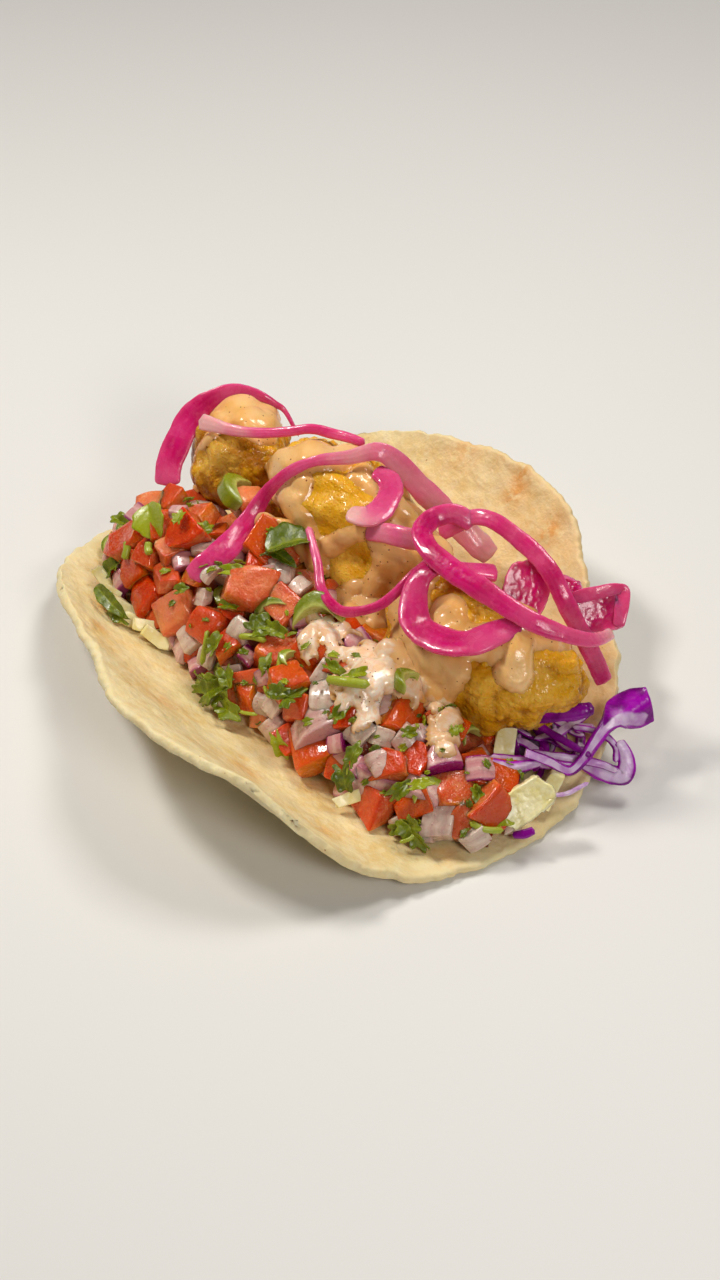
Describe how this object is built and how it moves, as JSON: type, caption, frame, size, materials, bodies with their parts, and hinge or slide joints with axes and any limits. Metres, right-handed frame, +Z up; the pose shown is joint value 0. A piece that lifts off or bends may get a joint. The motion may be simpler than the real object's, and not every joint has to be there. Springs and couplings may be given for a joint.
{
  "type": "fish taco",
  "caption": "Open corn tortilla folded round battered fish pieces, tomato salsa and cabbage, with pickled onion strips and a creamy sauce on top.",
  "frame": {"origin": "middle of the flat strip under the fold, on the plane that the taco rests on", "axes": "+X along the fold, towards the end where the red cabbage leaf sticks out; +Y to the flap behind the fish; +Z up"},
  "size_m": [0.156, 0.1295, 0.0518],
  "materials": {
    "corn_tortilla": "dry, pale cream yellow with small toasted spots",
    "fried_batter": "golden crust, oily shine on a rough surface",
    "tomato_salsa": "wet diced tomato, onion and herb",
    "cabbage": "shredded red and white cabbage",
    "red_cabbage": "purple skin with a white inside",
    "white_cabbage": "pale, smooth leaf",
    "pickled_onion": "wet, translucent magenta",
    "sauce": "glossy peach coloured cream sauce with dark specks",
    "herb": "green leaves, stems and chilli pieces"
  },
  "bodies": {
    "root": {"tortilla": "corn_tortilla", "cabbage_bed": "cabbage", "salsa_heap": "tomato_salsa", "fish_left": "fried_batter", "fish_middle": "fried_batter", "fish_right": "fried_batter", "onion_thin_loop": "pickled_onion", "onion_short_band": "pickled_onion", "onion_hook": "pickled_onion", "onion_long_arc": "pickled_onion", "onion_cross_band": "pickled_onion", "onion_left_band": "pickled_onion", "onion_crescent": "pickled_onion", "onion_rough_chunk": "pickled_onion", "onion_end_petal": "pickled_onion", "onion_back_arc": "pickled_onion", "onion_front_arc": "pickled_onion", "red_cabbage_dark": "red_cabbage", "red_cabbage_wavy": "red_cabbage", "red_cabbage_loop": "red_cabbage", "red_cabbage_leaf": "red_cabbage", "white_cabbage": "white_cabbage"}
  },
  "joints": []
}
